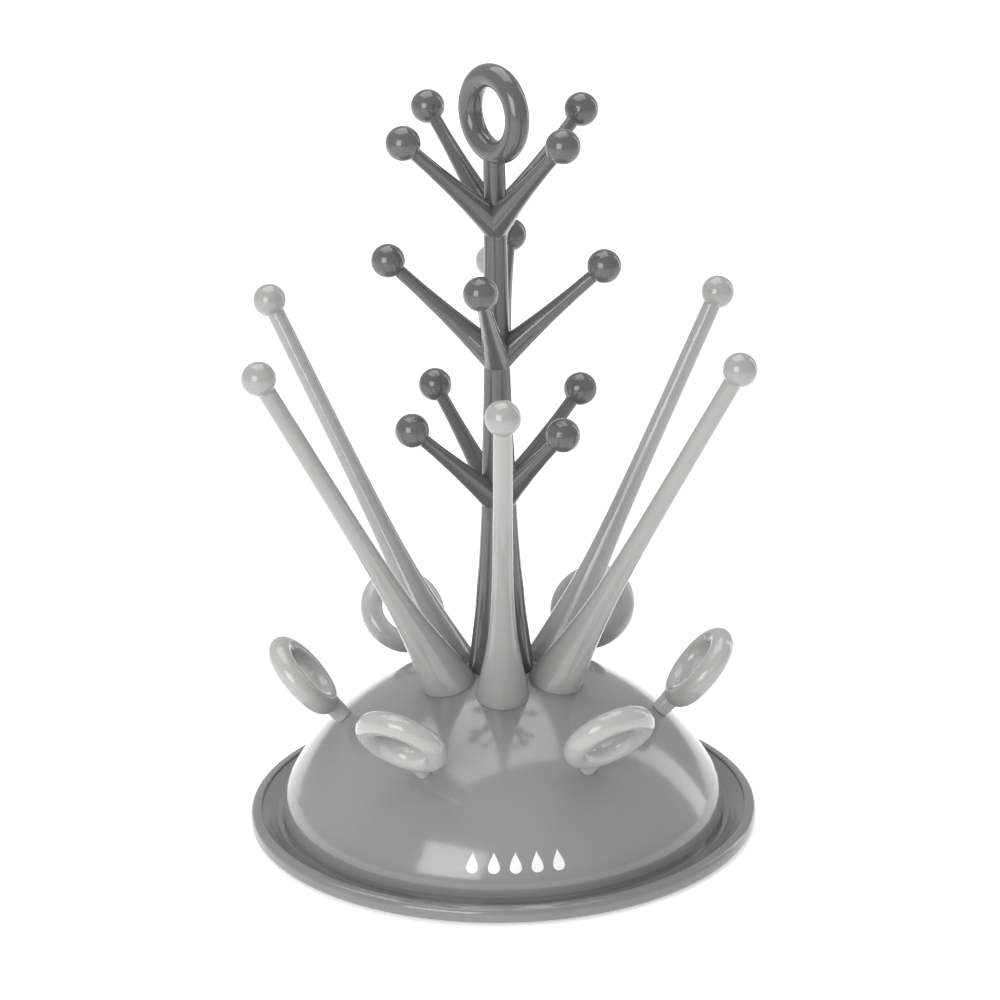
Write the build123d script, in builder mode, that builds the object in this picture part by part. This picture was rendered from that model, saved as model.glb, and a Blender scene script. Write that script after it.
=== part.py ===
from build123d import *
import os
from math import atan2, cos, degrees, exp, radians, sin, sqrt, tan

# Bottle drying rack: a drip tray, a domed cover that stands in it, a trunk with three
# stacked branch tiers and a carrying ring, six long bottle pegs and six short cap loops.
# Millimetres. Origin on the table under the trunk, +Z up, the front of the rack is -Y.

# ---- driving dimensions -------------------------------------------------------------
# drip tray
TRAY_RADIUS = 125.0
TRAY_FLOOR = 2.4         # thickness of the floor
TRAY_WALL = 2.2          # thickness of the lip and of the channel wall
LIP_TOP = 9.0            # height of the lip's crest
LIP_WIDEST = 3.4         # height at which the tray is widest
LIP_SKIRT = 2.2          # gap between the table and the lip's lower edge
LIP_CREST_INSET = 5.0    # from the tray's outer edge in to the crest
LIP_RIDGE_INSET = 2.1    # from the tray's outer edge in to the faint ridge on the lip
CHANNEL_RISE = 2.0       # the channel runs this much above the floor in the middle
CHANNEL_INSET = 11.6     # from the tray's outer edge in to the foot of the channel wall
RIB_HEIGHT = 4.6
RIB_WALL = 2.0

# domed cover
CHANNEL_WIDTH = 4.6      # level part of the channel, between the cover and the channel wall
DOME_SHOULDER_RADIUS = 30.0
DOME_FLAT = 5.0          # radius of the level spot in the middle of the crown
DOME_TOP = 80.1
DOME_WALL = 2.4
SKIRT_HEIGHT = 2.8       # plain band under the cover's edge
SKIRT_INSET = 0.7        # how far that band steps in

# bottle pegs
PEG_COUNT = 6
PEG_CIRCLE = 30.0
PEG_TILT = 29.4
PEG_LENGTH = 197.0       # from the cover to the middle of the ball
PEG_FOOT_RADIUS = 12.8
PEG_STEM_RADIUS = 4.9    # where the stem leaves the flare
PEG_TIP_RADIUS = 4.25    # just under the ball
PEG_FLARE = 37.0         # length over which the flare dies away
PEG_FLARE_SHAPE = 1.3    # above 1 the flare keeps its width longer near the foot
PEG_SPIGOT_RADIUS = 5.0
PEG_SPIGOT = 17.0

# cap loops
LOOP_COUNT = 6
LOOP_PLACE = 0.713       # share of the cover's radius at which the loops stand
LOOP_TILT = 40.5
LOOP_HEIGHT = 29.5       # from the cover to the middle of the ring
LOOP_BASE_RADIUS = 4.2
LOOP_NECK_RADIUS = 5.2
LOOP_RING_RADIUS = 17.2  # centre line of a loop's ring
LOOP_SPIGOT_RADIUS = 2.8
LOOP_SPIGOT = 11.0
RING_SECTION_RADIUS = 5.7    # of the bar that the rings are bent from

# trunk and branch tiers
TRUNK_FOOT_RADIUS = 16.1
TRUNK_TIP_RADIUS = 4.75
TRUNK_FLARE = 76.0
TRUNK_SPIGOT_RADIUS = 7.0
TRUNK_SPIGOT = 18.0
BRANCH_COUNT = 4
BRANCH_TIP_RADIUS = 3.05
BRANCH_ROOT_RADIUS = 7.4
BRANCH_OVERLAP = 2.0     # how far each root reaches past the trunk's axis into the others
BRANCH_SWELL = 2.2       # above 1 the branch stays slim longer and swells near its root
BRANCH_DROP = 54.0       # from a tier's balls down to the joint under the tier
BRANCH_START = 7.3       # height of the branch axes above that joint, on the trunk axis
TIER_SPIGOT_RADIUS = 3.1
TIER_SPIGOT = 12.0
LOW_REACH = 50.3         # from the trunk's axis to the middle of a low ball
MIDDLE_REACH = 51.2
TOP_REACH = 51.8
LOW_HEIGHT = 211.5       # middle of the low balls above the table
MIDDLE_RISE = 72.0       # from the low balls up to the middle ones
TOP_RISE = 66.0
RING_RISE = 5.7          # from the top balls up to the middle of the carrying ring
CROWN_RING_RADIUS = 17.9 # centre line of the carrying ring
TREE_TURN = 36.0         # direction of the first branch of the low and the top tier

BALL_RADIUS = 8.1
SOCKET_WALL = 2.5
SOCKET_FLOOR = 2.0

# clearances
RUNNING_FIT = 0.05       # radial play of every spigot in its socket
FOOT_GAP = 0.2           # shadow gap between a flared foot and the cover
RIB_GAP = 0.6            # play between the cover's skirt and the tray's rib

# ---- sizes that follow ---------------------------------------------------------------
channel_floor = TRAY_FLOOR + CHANNEL_RISE
channel_foot = TRAY_RADIUS - CHANNEL_INSET
crest = TRAY_RADIUS - LIP_CREST_INSET
ridge = TRAY_RADIUS - LIP_RIDGE_INSET
dome_radius = channel_foot - CHANNEL_WIDTH
loop_circle = dome_radius * LOOP_PLACE
shoulder_inset = dome_radius - DOME_SHOULDER_RADIUS
shoulder_height = channel_floor + SKIRT_HEIGHT
crown_rise = DOME_TOP - shoulder_height
crown_reach = shoulder_inset - DOME_FLAT
# the crown's arc meets the shoulder's arc without a corner
crown_radius = (crown_reach**2 + crown_rise**2 - DOME_SHOULDER_RADIUS**2) / (
    2 * (crown_rise - DOME_SHOULDER_RADIUS)
)
crown_centre = DOME_TOP - crown_radius
centre_gap = crown_radius - DOME_SHOULDER_RADIUS
shoulder_dir = (
    (shoulder_inset - DOME_FLAT) / centre_gap,
    (shoulder_height - crown_centre) / centre_gap,
)
rib_radius = dome_radius - DOME_WALL - RIB_GAP
middle_height = LOW_HEIGHT + MIDDLE_RISE
top_height = middle_height + TOP_RISE
ring_height = top_height + RING_RISE
low_joint = LOW_HEIGHT - BRANCH_DROP
middle_joint = middle_height - BRANCH_DROP
top_joint = top_height - BRANCH_DROP
side_names = ("right", "back_right", "back_left", "left", "front_left", "front_right")


def dome_height(radius, grow=0.0):
    """Height of the cover's crown arc at a radius, moved out by grow."""
    reach = crown_radius + grow
    return crown_centre + sqrt(reach**2 - max(radius - DOME_FLAT, 0.0) ** 2)


def dome_outline(grow):
    """Closed half section of the cover's outside, moved out by grow, on the XZ plane."""
    crown = crown_radius + grow
    shoulder = DOME_SHOULDER_RADIUS + grow
    top_angle = degrees(atan2(shoulder_dir[1], shoulder_dir[0]))
    with BuildLine() as outline:
        Line((0, channel_floor), (0, DOME_TOP + grow))
        Line((0, DOME_TOP + grow), (DOME_FLAT, DOME_TOP + grow))
        CenterArc((DOME_FLAT, crown_centre), crown, top_angle, 90 - top_angle)
        CenterArc((shoulder_inset, shoulder_height), shoulder, 0, top_angle)
        Line((shoulder_inset + shoulder, shoulder_height), (shoulder_inset + shoulder, channel_floor))
        Line((shoulder_inset + shoulder, channel_floor), (0, channel_floor))
    return outline.line


def stem_plane(circle, tilt, turn):
    """Plane of a leaning stem: origin on the cover, X sideways, Y up along the stem."""
    side = Vector(-sin(radians(turn)), cos(radians(turn)), 0)
    out = Vector(cos(radians(turn)), sin(radians(turn)), 0)
    along = out * sin(radians(tilt)) + Vector(0, 0, cos(radians(tilt)))
    foot = out * circle + Vector(0, 0, dome_height(circle))
    return Plane(origin=foot, x_dir=side, z_dir=side.cross(along))


def across(plane, distance):
    """Plane square to a leaning stem, at a distance along it."""
    return Plane(origin=plane.origin + plane.y_dir * distance, x_dir=plane.x_dir, z_dir=plane.y_dir)


def peg_outline(points=7):
    """Points down the outside of a peg: a trumpet foot that settles on a slim stem."""
    for i in range(points):
        distance = PEG_LENGTH * (i / (points - 1)) ** 1.5
        stem = PEG_STEM_RADIUS + (PEG_TIP_RADIUS - PEG_STEM_RADIUS) * distance / PEG_LENGTH
        fade = exp(-((distance / PEG_FLARE) ** PEG_FLARE_SHAPE))
        yield stem + (PEG_FOOT_RADIUS - PEG_STEM_RADIUS) * fade, distance


def trunk_radius(height):
    """Radius of the trunk and of the tiers' stems at a height."""
    swell = TRUNK_FOOT_RADIUS - TRUNK_TIP_RADIUS
    return TRUNK_TIP_RADIUS + swell * exp(-(height - DOME_TOP) / TRUNK_FLARE)


def add_ring(centre, side, face, radius):
    """A ring of round bar that lies in the plane square to face."""
    with BuildSketch(Plane(origin=centre, x_dir=side, z_dir=face.cross(side))) as section:
        with Locations((radius, 0)):
            Circle(RING_SECTION_RADIUS)
    revolve(section.sketch, axis=Axis(centre, face))


peg_planes = [stem_plane(PEG_CIRCLE, PEG_TILT, 30 + 360 / PEG_COUNT * i) for i in range(PEG_COUNT)]
loop_planes = [stem_plane(loop_circle, LOOP_TILT, 360 / LOOP_COUNT * i) for i in range(LOOP_COUNT)]
peg_names = ("back_right", "back", "back_left", "front_left", "front", "front_right")

os.makedirs("parts", exist_ok=True)


def save(part, name):
    part.label = name
    export_step(part, f"parts/{name}.step")


# ---- drip tray -----------------------------------------------------------------------
step_radius = rib_radius - RIB_WALL - CHANNEL_RISE
with BuildPart() as drip_tray:
    with BuildSketch(Plane.XZ):
        with BuildLine():
            Polyline(
                (0, 0),
                (step_radius, 0),
                (step_radius + CHANNEL_RISE, CHANNEL_RISE),
                (channel_foot + 0.6, CHANNEL_RISE),
                (crest - 0.8, LIP_TOP - TRAY_WALL - 1.2),
                (crest + 1.0, LIP_TOP - TRAY_WALL),
                (TRAY_RADIUS - TRAY_WALL, LIP_TOP / 2),
                (TRAY_RADIUS - TRAY_WALL, LIP_SKIRT),
                (TRAY_RADIUS - TRAY_WALL / 3, LIP_SKIRT),
                (TRAY_RADIUS, LIP_WIDEST),
            )
            Bezier(
                (TRAY_RADIUS, LIP_WIDEST),
                (TRAY_RADIUS, LIP_TOP - 2.2),
                (ridge + 1.5, LIP_TOP - 0.9),
                (ridge, LIP_TOP - 0.5),
            )
            Bezier(
                (ridge, LIP_TOP - 0.5),
                (ridge - 1.2, LIP_TOP),
                (crest + 0.8, LIP_TOP),
                (crest, LIP_TOP),
            )
            Polyline(
                (crest, LIP_TOP),
                (crest - 0.6, LIP_TOP - 0.4),
                (crest - 0.9, LIP_TOP - 1.4),
                (channel_foot + 1.2, channel_floor + 1.0),
                (channel_foot - 1.6, channel_floor),
                (rib_radius, channel_floor),
                (rib_radius, channel_floor + RIB_HEIGHT),
                (rib_radius - RIB_WALL, channel_floor + RIB_HEIGHT),
                (rib_radius - RIB_WALL, channel_floor),
                (step_radius - 1.0, TRAY_FLOOR),
                (0, TRAY_FLOOR),
                (0, 0),
            )
        make_face()
    revolve(axis=Axis.Z)
save(drip_tray.part, "drip_tray")

# ---- domed cover ---------------------------------------------------------------------
with BuildPart() as cover_clearance:
    with BuildSketch(Plane.XZ):
        add(dome_outline(FOOT_GAP))
        make_face()
    revolve(axis=Axis.Z)

with BuildPart() as cover_hollow:
    with BuildSketch(Plane.XZ):
        add(dome_outline(-DOME_WALL))
        make_face()
    revolve(axis=Axis.Z)
    for plane in peg_planes:
        with BuildSketch(across(plane, -PEG_SPIGOT - SOCKET_FLOOR)):
            Circle(PEG_SPIGOT_RADIUS + RUNNING_FIT + SOCKET_WALL)
        extrude(amount=PEG_SPIGOT + SOCKET_FLOOR, mode=Mode.SUBTRACT)
    for plane in loop_planes:
        with BuildSketch(across(plane, -LOOP_SPIGOT - SOCKET_FLOOR)):
            Circle(LOOP_SPIGOT_RADIUS + RUNNING_FIT + SOCKET_WALL)
        extrude(amount=LOOP_SPIGOT + SOCKET_FLOOR, mode=Mode.SUBTRACT)
    with BuildSketch(Plane.XY.offset(DOME_TOP - TRUNK_SPIGOT - SOCKET_FLOOR)):
        Circle(TRUNK_SPIGOT_RADIUS + RUNNING_FIT + SOCKET_WALL)
    extrude(amount=TRUNK_SPIGOT + SOCKET_FLOOR, mode=Mode.SUBTRACT)

with BuildPart() as dome_cover:
    with BuildSketch(Plane.XZ):
        add(dome_outline(0))
        make_face()
    revolve(axis=Axis.Z)
    add(cover_hollow.part, mode=Mode.SUBTRACT)
    for plane in peg_planes:
        with BuildSketch(across(plane, -PEG_SPIGOT)):
            Circle(PEG_SPIGOT_RADIUS + RUNNING_FIT)
        extrude(amount=PEG_SPIGOT + PEG_FOOT_RADIUS, mode=Mode.SUBTRACT)
    for plane in loop_planes:
        with BuildSketch(across(plane, -LOOP_SPIGOT)):
            Circle(LOOP_SPIGOT_RADIUS + RUNNING_FIT)
        extrude(amount=LOOP_SPIGOT + PEG_FOOT_RADIUS, mode=Mode.SUBTRACT)
    with BuildSketch(Plane.XY.offset(DOME_TOP - TRUNK_SPIGOT)):
        Circle(TRUNK_SPIGOT_RADIUS + RUNNING_FIT)
    extrude(amount=TRUNK_SPIGOT + DOME_WALL, mode=Mode.SUBTRACT)
    with BuildSketch(Plane.XY.offset(channel_floor)):
        Circle(dome_radius + 1)
        Circle(dome_radius - SKIRT_INSET, mode=Mode.SUBTRACT)
    extrude(amount=SKIRT_HEIGHT, mode=Mode.SUBTRACT)
save(dome_cover.part, "dome_cover")

# ---- bottle pegs ---------------------------------------------------------------------
foot_sink = PEG_FOOT_RADIUS / 2    # the flare starts below the cover and is cut to its curve
for name, plane in zip(peg_names, peg_planes):
    stem_axis = Axis(plane.origin, plane.y_dir)
    with BuildPart() as peg:
        with BuildSketch(plane):
            with BuildLine():
                outline = Spline(*peg_outline())
                Line((0, -foot_sink), (PEG_FOOT_RADIUS, -foot_sink))
                Line((PEG_FOOT_RADIUS, -foot_sink), outline @ 0)
                Line(outline @ 1, (0, PEG_LENGTH))
                Line((0, PEG_LENGTH), (0, -foot_sink))
            make_face()
        revolve(axis=stem_axis)
        add(cover_clearance.part, mode=Mode.SUBTRACT)
        with BuildSketch(across(plane, -PEG_SPIGOT)):
            Circle(PEG_SPIGOT_RADIUS)
        extrude(amount=PEG_SPIGOT + foot_sink)
        with Locations(across(plane, PEG_LENGTH)):
            Sphere(BALL_RADIUS)
    save(peg.part, f"bottle_peg_{name}")

# ---- cap loops -----------------------------------------------------------------------
neck_height = LOOP_HEIGHT - LOOP_RING_RADIUS
for name, plane in zip(side_names, loop_planes):
    stem_axis = Axis(plane.origin, plane.y_dir)
    ring_centre = plane.origin + plane.y_dir * LOOP_HEIGHT
    with BuildPart() as loop:
        with BuildSketch(plane):
            with BuildLine():
                Polyline(
                    (0, -BALL_RADIUS / 2),
                    (LOOP_BASE_RADIUS, -BALL_RADIUS / 2),
                    (LOOP_BASE_RADIUS, 0),
                    (LOOP_NECK_RADIUS, neck_height),
                    (0, neck_height),
                    (0, -BALL_RADIUS / 2),
                )
            make_face()
        revolve(axis=stem_axis)
        add(cover_clearance.part, mode=Mode.SUBTRACT)
        with BuildSketch(across(plane, -LOOP_SPIGOT)):
            Circle(LOOP_SPIGOT_RADIUS)
        extrude(amount=LOOP_SPIGOT + neck_height)
        add_ring(ring_centre, plane.x_dir, plane.z_dir, LOOP_RING_RADIUS)
    save(loop.part, f"cap_loop_{name}")

# ---- trunk ---------------------------------------------------------------------------
trunk_sink = 4.0         # the flare starts below the cover's crown and is cut to its curve

with BuildPart() as trunk:
    with BuildSketch(Plane.XZ):
        with BuildLine():
            steps = [(low_joint - DOME_TOP) * i / 4 + DOME_TOP for i in range(5)]
            outline = Spline(*[(trunk_radius(z), z) for z in steps])
            Line((0, DOME_TOP - trunk_sink), (TRUNK_FOOT_RADIUS, DOME_TOP - trunk_sink))
            Line((TRUNK_FOOT_RADIUS, DOME_TOP - trunk_sink), outline @ 0)
            Line(outline @ 1, (0, low_joint))
            Line((0, low_joint), (0, DOME_TOP - trunk_sink))
        make_face()
    revolve(axis=Axis.Z)
    add(cover_clearance.part, mode=Mode.SUBTRACT)
    with BuildSketch(Plane.XY.offset(DOME_TOP - TRUNK_SPIGOT)):
        Circle(TRUNK_SPIGOT_RADIUS)
    extrude(amount=TRUNK_SPIGOT + trunk_sink)
    with BuildSketch(Plane.XY.offset(low_joint)):
        Circle(TIER_SPIGOT_RADIUS + RUNNING_FIT)
    extrude(amount=-TIER_SPIGOT, mode=Mode.SUBTRACT)
save(trunk.part, "trunk")


# ---- branch tiers --------------------------------------------------------------------
def branch_outline(length, points=6):
    """Points along the outside of a branch, from its root to its ball, closest at the root."""
    for i in range(points):
        share = (i / (points - 1)) ** 1.5
        swell = (BRANCH_ROOT_RADIUS - BRANCH_TIP_RADIUS) * (1 - share) ** BRANCH_SWELL
        yield BRANCH_TIP_RADIUS + swell, length * share


def tier_quarter(reach, height, stem_top):
    """One branch with its ball and its share of the tier's stem, cut to a wedge about +X."""
    joint = height - BRANCH_DROP
    root = Vector(0, 0, joint + BRANCH_START)
    ball = Vector(reach, 0, height)
    side = Vector(0, 1, 0)
    along = (ball - root).normalized()
    length = (ball - root).length
    span = 2 * BRANCH_DROP
    edge = span * tan(radians(180 / BRANCH_COUNT))
    with BuildPart() as quarter:
        with BuildSketch(Plane.XY.offset(joint)) as lower:
            Circle(trunk_radius(joint))
        with BuildSketch(Plane.XY.offset(stem_top)) as upper:
            Circle(trunk_radius(stem_top))
        loft([lower.sketch, upper.sketch])
        with BuildSketch(Plane(origin=root, x_dir=side, z_dir=side.cross(along))) as section:
            with BuildLine():
                Polyline(
                    (0, -BRANCH_OVERLAP),
                    (BRANCH_ROOT_RADIUS, -BRANCH_OVERLAP),
                    *branch_outline(length),
                    (0, length),
                    (0, -BRANCH_OVERLAP),
                )
            make_face()
        revolve(section.sketch, axis=Axis(root, along))
        with Locations(ball):
            Sphere(BALL_RADIUS)
        with BuildSketch(Plane.XY.offset(joint)) as wedge:
            Polygon((0, 0), (span, -edge), (span, edge), align=None)
        extrude(wedge.sketch, amount=span, mode=Mode.INTERSECT)
    return quarter.part


def join_quarters(quarter, first_turn):
    """All the branches of a tier, with the first one in that direction."""
    with PolarLocations(0, BRANCH_COUNT, start_angle=first_turn):
        add(quarter)


def plug_and_socket(joint, stem_top=None):
    """The spigot under a tier, and the socket in the top of its stem."""
    with BuildSketch(Plane.XY.offset(joint)) as spigot:
        Circle(TIER_SPIGOT_RADIUS)
    extrude(spigot.sketch, amount=-TIER_SPIGOT + RUNNING_FIT)
    if stem_top is not None:
        with BuildSketch(Plane.XY.offset(stem_top)) as bore:
            Circle(TIER_SPIGOT_RADIUS + RUNNING_FIT)
        extrude(bore.sketch, amount=-TIER_SPIGOT, mode=Mode.SUBTRACT)


half_turn = 180 / BRANCH_COUNT
low_quarter = tier_quarter(LOW_REACH, LOW_HEIGHT, middle_joint)
with BuildPart() as low_tier:
    join_quarters(low_quarter, TREE_TURN)
    plug_and_socket(low_joint, middle_joint)
save(low_tier.part, "low_tier")

middle_quarter = tier_quarter(MIDDLE_REACH, middle_height, top_joint)
with BuildPart() as middle_tier:
    join_quarters(middle_quarter, TREE_TURN + half_turn)
    plug_and_socket(middle_joint, top_joint)
save(middle_tier.part, "middle_tier")

ring_side = Vector(sin(radians(TREE_TURN)), -cos(radians(TREE_TURN)), 0)
ring_face = Vector(cos(radians(TREE_TURN)), sin(radians(TREE_TURN)), 0)
top_quarter = tier_quarter(TOP_REACH, top_height, ring_height - CROWN_RING_RADIUS)
with BuildPart() as crown:
    join_quarters(top_quarter, TREE_TURN)
    plug_and_socket(top_joint)
    add_ring(Vector(0, 0, ring_height), ring_side, ring_face, CROWN_RING_RADIUS)
save(crown.part, "crown")
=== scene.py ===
import math

import bmesh
import bpy
from mathutils import Matrix, Vector
from mathutils.bvhtree import BVHTree


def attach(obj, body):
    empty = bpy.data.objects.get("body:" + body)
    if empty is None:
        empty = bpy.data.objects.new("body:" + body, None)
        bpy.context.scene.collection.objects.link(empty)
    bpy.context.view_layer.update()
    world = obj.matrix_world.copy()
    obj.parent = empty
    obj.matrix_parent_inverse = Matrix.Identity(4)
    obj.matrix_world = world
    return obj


# Bottle drying rack. Metres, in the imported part's frame: +Z up, the front is -Y.

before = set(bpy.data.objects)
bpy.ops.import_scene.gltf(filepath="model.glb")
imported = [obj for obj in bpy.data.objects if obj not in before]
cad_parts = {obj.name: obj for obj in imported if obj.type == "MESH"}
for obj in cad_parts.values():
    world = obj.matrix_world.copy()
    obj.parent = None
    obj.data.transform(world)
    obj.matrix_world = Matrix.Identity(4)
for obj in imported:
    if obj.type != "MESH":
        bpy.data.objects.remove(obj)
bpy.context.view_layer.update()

PEGS = [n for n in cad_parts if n.startswith("bottle_peg")]
LOOPS = [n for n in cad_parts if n.startswith("cap_loop")]
TREE = ["trunk", "low_tier", "middle_tier", "crown"]

# grey level, warmth, roughness and pattern offset of each moulding
TRAY_FINISH = (0.175, -0.01, 0.12, 1.0)
COVER_FINISH = (0.212, 0.0, 0.15, 2.0)
TREE_FINISH = (0.085, 0.0, 0.14, 3.0)
PEG_FINISH = (0.29, 0.01, 0.14, 4.0)
PRINT_FINISH = (0.72, 0.0, 0.3, 5.0)
# the loops' grey is set above the pegs' grey to paint in the key light falling on them: a
# painted highlight on top of their own light grey
LOOP_FINISH_PAINTED_LIT = (0.34, 0.01, 0.14, 6.0)

# scales of the patterns in the plastic, in cycles per metre
FLOW_SCALE = 14.0        # slow clouding from the mould's filling
CLOUD_SCALE = 45.0       # patches of slightly different gloss
WAVE_SCALE = 70.0        # the faint waviness of a moulded surface
SCUFF_SCALE = 420.0      # hairline scuffs, drawn out along one direction
GRAIN_SCALE = 900.0

SCUFF_STRETCH = (1.0, 1.0, 0.12)
SCUFF_TURN = (0.5, 0.3, 0.0)
PLASTIC_IOR = 1.49
COAT_WEIGHT = 0.25
COAT_ROUGHNESS = 0.08


# ---- node helpers ----------------------------------------------------------------------
def new_material(name):
    material = bpy.data.materials.new(name)
    material.use_nodes = True
    material.node_tree.nodes.clear()
    return material, material.node_tree


def add_node(tree, kind, **settings):
    node = tree.nodes.new(kind)
    for key, value in settings.items():
        setattr(node, key, value)
    return node


def set_inputs(node, **values):
    """Sets sockets by name, with _ in place of a space."""
    for key, value in values.items():
        node.inputs[key.replace("_", " ")].default_value = value
    return node


def finish_material(tree, shader):
    output = add_node(tree, "ShaderNodeOutputMaterial")
    tree.links.new(shader.outputs[0], output.inputs["Surface"])


def moved_place(tree, vector, **values):
    """The given place, shifted, turned or stretched."""
    node = set_inputs(add_node(tree, "ShaderNodeMapping"), **values)
    tree.links.new(vector, node.inputs["Vector"])
    return node.outputs["Vector"]


def noise(tree, vector, scale, detail=2.0, roughness=0.5):
    node = add_node(tree, "ShaderNodeTexNoise")
    set_inputs(node, Scale=scale, Detail=detail, Roughness=roughness)
    tree.links.new(vector, node.inputs["Vector"])
    return node.outputs["Fac"]


def spread(tree, value, low, high, to_low, to_high):
    """The value mapped from low..high to to_low..to_high, and held there outside it."""
    node = add_node(tree, "ShaderNodeMapRange")
    set_inputs(node, From_Min=low, From_Max=high, To_Min=to_low, To_Max=to_high)
    tree.links.new(value, node.inputs["Value"])
    return node.outputs["Result"]


def arith(tree, operation, first, second):
    node = add_node(tree, "ShaderNodeMath", operation=operation)
    for socket, value in zip(node.inputs, (first, second)):
        if isinstance(value, (int, float)):
            socket.default_value = value
        else:
            tree.links.new(value, socket)
    return node.outputs[0]


def mix_colour(tree, share, first, second):
    node = add_node(tree, "ShaderNodeMix", data_type="RGBA", blend_type="MIX")
    factor, colour_a, colour_b = node.inputs[0], node.inputs[6], node.inputs[7]
    for socket, value in ((factor, share), (colour_a, first), (colour_b, second)):
        if isinstance(value, bpy.types.NodeSocket):
            tree.links.new(value, socket)
        else:
            socket.default_value = value
    return node.outputs[2]


def bump(tree, height, strength, distance, below=None):
    node = add_node(tree, "ShaderNodeBump")
    set_inputs(node, Strength=strength, Distance=distance)
    tree.links.new(height, node.inputs["Height"])
    if below is not None:
        tree.links.new(below, node.inputs["Normal"])
    return node.outputs["Normal"]


def grey(level, warmth=0.0):
    return (level * (1 + warmth), level, level * (1 - warmth), 1.0)


# ---- moulded plastic ---------------------------------------------------------------------
def moulded_plastic(name, level, warmth, gloss, seed):
    """Glossy moulded plastic: flow marks, fine grain, hairline scuffs and rubbed edges."""
    material, tree = new_material(name)
    place = add_node(tree, "ShaderNodeTexCoord").outputs["Object"]
    here = moved_place(tree, place, Location=(seed, seed * 0.7, -seed))
    drawn_out = moved_place(tree, here, Scale=SCUFF_STRETCH, Rotation=SCUFF_TURN)

    flow = noise(tree, here, FLOW_SCALE, 3.0)
    grain = noise(tree, here, GRAIN_SCALE)
    scuff = noise(tree, drawn_out, SCUFF_SCALE, 6.0, 0.7)
    cloud = noise(tree, here, CLOUD_SCALE, 4.0)
    wave = noise(tree, here, WAVE_SCALE)

    flowed = spread(tree, flow, 0.3, 0.7, 0.0, 1.0)
    base = mix_colour(tree, flowed, grey(level * 0.95, warmth), grey(level * 1.05, warmth))
    flecks = spread(tree, grain, 0.35, 0.65, 0.0, 0.12)
    base = mix_colour(tree, flecks, base, grey(level * 1.25, warmth))
    edge = add_node(tree, "ShaderNodeNewGeometry").outputs["Pointiness"]
    sharp = spread(tree, edge, 0.52, 0.60, 0.0, 0.35)
    patchy = spread(tree, cloud, 0.35, 0.65, 0.2, 1.0)
    rubbed = arith(tree, "MULTIPLY", sharp, patchy)
    base = mix_colour(tree, rubbed, base, grey(min(level * 1.5, 0.8), warmth))

    rough = spread(tree, cloud, 0.3, 0.7, gloss * 0.85, gloss * 1.2)
    rough = arith(tree, "ADD", rough, spread(tree, scuff, 0.62, 0.75, 0.0, 0.10))
    rough = arith(tree, "ADD", rough, arith(tree, "MULTIPLY", rubbed, 0.25))

    grained = bump(tree, grain, 0.03, 0.0002)
    waved = bump(tree, wave, 0.012, 0.001, below=grained)

    shader = add_node(tree, "ShaderNodeBsdfPrincipled")
    tree.links.new(base, shader.inputs["Base Color"])
    tree.links.new(rough, shader.inputs["Roughness"])
    tree.links.new(waved, shader.inputs["Normal"])
    set_inputs(shader, IOR=PLASTIC_IOR, Coat_Weight=COAT_WEIGHT, Coat_Roughness=COAT_ROUGHNESS)
    finish_material(tree, shader)
    return material


def coat(names, material):
    for name in names:
        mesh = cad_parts[name].data
        mesh.materials.clear()
        mesh.materials.append(material)


coat(["drip_tray"], moulded_plastic("tray_plastic", *TRAY_FINISH))
coat(["dome_cover"], moulded_plastic("cover_plastic", *COVER_FINISH))
coat(TREE, moulded_plastic("tree_plastic", *TREE_FINISH))
coat(PEGS, moulded_plastic("peg_plastic", *PEG_FINISH))
coat(LOOPS, moulded_plastic("loop_plastic_painted_lit", *LOOP_FINISH_PAINTED_LIT))


# ---- the row of printed drops on the front of the cover ---------------------------------
DROP_COUNT = 5
DROP_PITCH = 0.0102      # from one drop to the next, round the cover
DROP_HEIGHT = 0.0088
DROP_WIDTH = 0.0062
DROP_FOOT = 0.0186       # height of the drops' lower ends above the table
DROP_HEART = 0.38        # share of a drop's height at which its rings of points are centred
DROP_PROUD = 0.00015     # the print stands this much proud of the cover
DROP_AZIMUTH = math.radians(-88.0)
DROP_STEPS = 36          # points round a drop
DROP_TAPER = 1.6         # above 1 the tip is drawn out
DROP_FULLEST = 0.77      # the outline formula's largest value, which the width is scaled by
COVER_RADIUS = 0.105     # of the cover where the drops are
RAY_START = 0.3          # outside the whole rack

# each ring of a drop's points: its share of the outline, and of the print's thickness.
# The last ring dips into the cover, so the print has an edge and no gap under it.
DROP_RINGS = ((0.25, 1), (0.5, 1), (0.75, 1), (0.94, 1), (1.0, 0.6), (1.02, -0.4))


def drop_outline():
    """A water drop with its tip upwards, as shares of its half width and its height."""
    for i in range(DROP_STEPS):
        turn = 2 * math.pi * i / DROP_STEPS
        across = math.sin(turn) * math.sin(turn / 2) ** DROP_TAPER
        yield across / DROP_FULLEST, 0.5 + 0.5 * math.cos(turn)


def cover_point(tree, around, height, proud):
    """A point on the cover's outside, or that far proud of it."""
    outward = Vector((math.cos(around), math.sin(around), 0))
    start = outward * RAY_START + Vector((0, 0, height))
    hit, normal, _, _ = tree.ray_cast(start, -outward)
    return hit + normal.normalized() * proud


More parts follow.
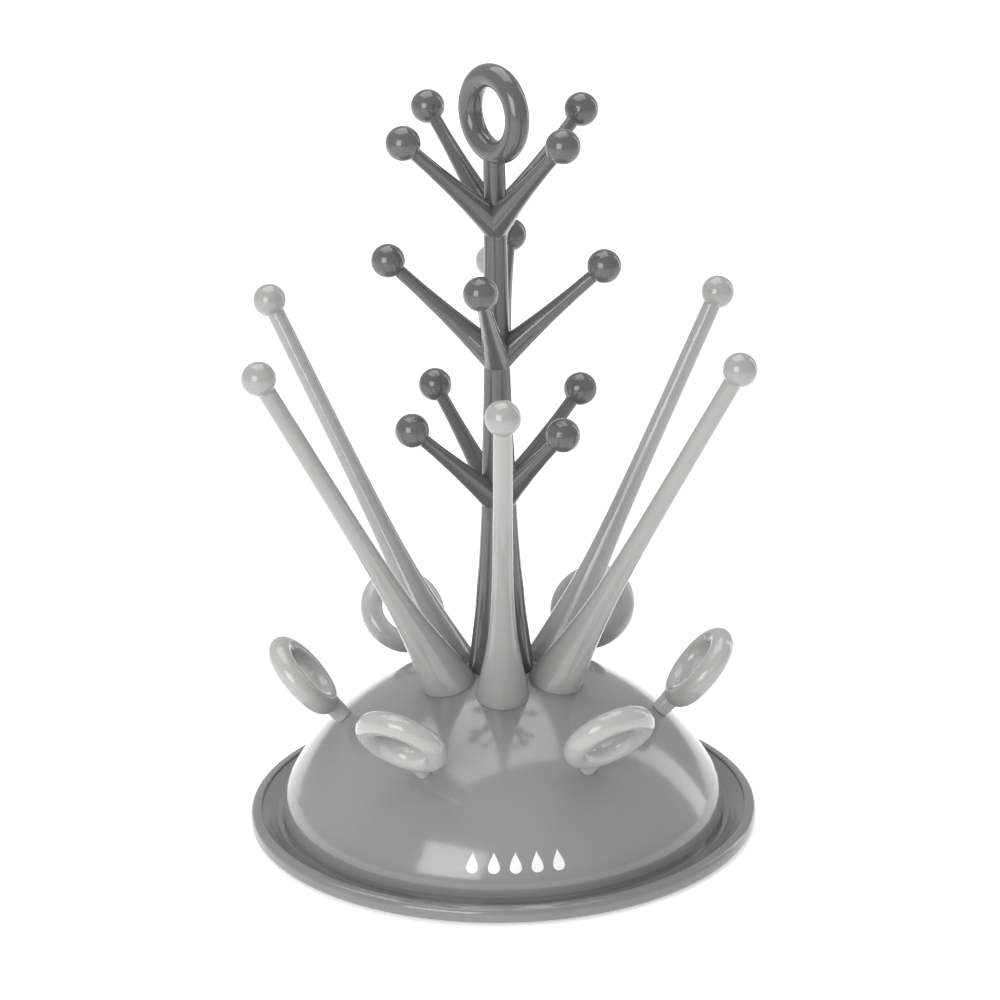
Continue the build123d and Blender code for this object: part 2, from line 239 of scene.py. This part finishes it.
def add_drop(mesh, tree, middle):
    """One drop, whose middle is that far round the cover from the middle of the row."""
    heart = DROP_FOOT + DROP_HEART * DROP_HEIGHT

    def corner(across, up, share, proud):
        height = heart + share * (DROP_FOOT + up * DROP_HEIGHT - heart)
        arc = middle + share * across * DROP_WIDTH / 2
        return mesh.verts.new(
            cover_point(tree, DROP_AZIMUTH + arc / COVER_RADIUS, height, proud)
        )

    centre = corner(0, 0, 0, DROP_PROUD)
    rings = [
        [corner(across, up, share, DROP_PROUD * lift) for across, up in drop_outline()]
        for share, lift in DROP_RINGS
    ]
    for k in range(DROP_STEPS):
        n = (k + 1) % DROP_STEPS
        mesh.faces.new((centre, rings[0][k], rings[0][n]))
        for inner, outer in zip(rings, rings[1:]):
            mesh.faces.new((inner[k], outer[k], outer[n], inner[n]))


def add_print():
    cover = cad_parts["dome_cover"].data
    tree = BVHTree.FromPolygons(
        [v.co for v in cover.vertices], [tuple(p.vertices) for p in cover.polygons]
    )
    mesh = bmesh.new()
    for i in range(DROP_COUNT):
        add_drop(mesh, tree, (i - (DROP_COUNT - 1) / 2) * DROP_PITCH)
    bmesh.ops.recalc_face_normals(mesh, faces=mesh.faces)
    data = bpy.data.meshes.new("front_drops")
    mesh.to_mesh(data)
    mesh.free()
    data.shade_smooth()
    data.materials.append(moulded_plastic("print_white", *PRINT_FINISH))
    piece = bpy.data.objects.new("front_drops", data)
    bpy.context.scene.collection.objects.link(piece)
    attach(piece, "cover")


add_print()

# ---- floor, camera and light ----------------------------------------------------------
FLOOR_SIZE = 12.0
FLOOR_GREY = 0.93
FLOOR_ROUGHNESS = 0.7
FLOOR_GLOW = 0.45        # lifts the floor to the white of a lit studio sweep
WORLD_STRENGTH = 0.62
MIDDLE = (0, 0, 0.18)    # what the lights are aimed at

# name, place, width, height, watts
LIGHTS = (
    ("key", (-0.95, -1.75, 0.9), 1.2, 1.2, 24),
    ("strip", (1.5, 0.9, 0.7), 0.4, 1.5, 4.5),
    ("top", (-0.2, 0.5, 2.2), 1.9, 1.9, 30),
)

CAMERA_AZIMUTH = math.radians(-91.0)
CAMERA_ELEVATION = math.radians(23.94)
CAMERA_DISTANCE = 1.7377
CAMERA_PIVOT = Vector((0, 0, 0.0298))
CAMERA_AIM = Vector((0.0005, 0, 0.1656))
CAMERA_ROLL = math.radians(-0.79)
CAMERA_LENS = 126.4
CAMERA_SENSOR = 36.0


def add_floor():
    bpy.ops.mesh.primitive_plane_add(size=FLOOR_SIZE, location=(0, 0, 0))
    floor = bpy.context.object
    floor.name = "floor"
    material, tree = new_material("floor_paint")
    shader = add_node(tree, "ShaderNodeBsdfPrincipled")
    set_inputs(
        shader,
        Base_Color=grey(FLOOR_GREY),
        Roughness=FLOOR_ROUGHNESS,
        Emission_Color=grey(1),
        Emission_Strength=FLOOR_GLOW,
    )
    finish_material(tree, shader)
    floor.data.materials.append(material)


def add_camera():
    data = bpy.data.cameras.new("camera")
    data.lens = CAMERA_LENS
    data.sensor_width = CAMERA_SENSOR
    data.clip_start = 0.05
    data.clip_end = 50.0
    camera = bpy.data.objects.new("camera", data)
    bpy.context.scene.collection.objects.link(camera)
    level = math.cos(CAMERA_ELEVATION)
    towards = Vector(
        (
            level * math.cos(CAMERA_AZIMUTH),
            level * math.sin(CAMERA_AZIMUTH),
            math.sin(CAMERA_ELEVATION),
        )
    )
    place = CAMERA_PIVOT + CAMERA_DISTANCE * towards
    ahead = (CAMERA_AIM - place).normalized()
    side = ahead.cross(Vector((0, 0, 1))).normalized()
    top = side.cross(ahead)
    right = math.cos(CAMERA_ROLL) * side + math.sin(CAMERA_ROLL) * top
    up = -math.sin(CAMERA_ROLL) * side + math.cos(CAMERA_ROLL) * top
    turn = Matrix((right, up, -ahead)).transposed().to_4x4()
    camera.matrix_world = Matrix.Translation(place) @ turn
    bpy.context.scene.camera = camera


def add_light(name, place, width, height, watts):
    data = bpy.data.lights.new(name, "AREA")
    data.shape = "RECTANGLE"
    data.size = width
    data.size_y = height
    data.energy = watts
    light = bpy.data.objects.new(name, data)
    bpy.context.scene.collection.objects.link(light)
    light.location = place
    aim = Vector(MIDDLE) - Vector(place)
    light.rotation_euler = aim.to_track_quat("-Z", "Y").to_euler()


def add_world():
    world = bpy.data.worlds.new("studio")
    bpy.context.scene.world = world
    world.use_nodes = True
    background = world.node_tree.nodes["Background"]
    set_inputs(background, Color=grey(1), Strength=WORLD_STRENGTH)


add_floor()
add_camera()
add_world()
for light in LIGHTS:
    add_light(*light)
bpy.context.scene.view_settings.view_transform = "Standard"
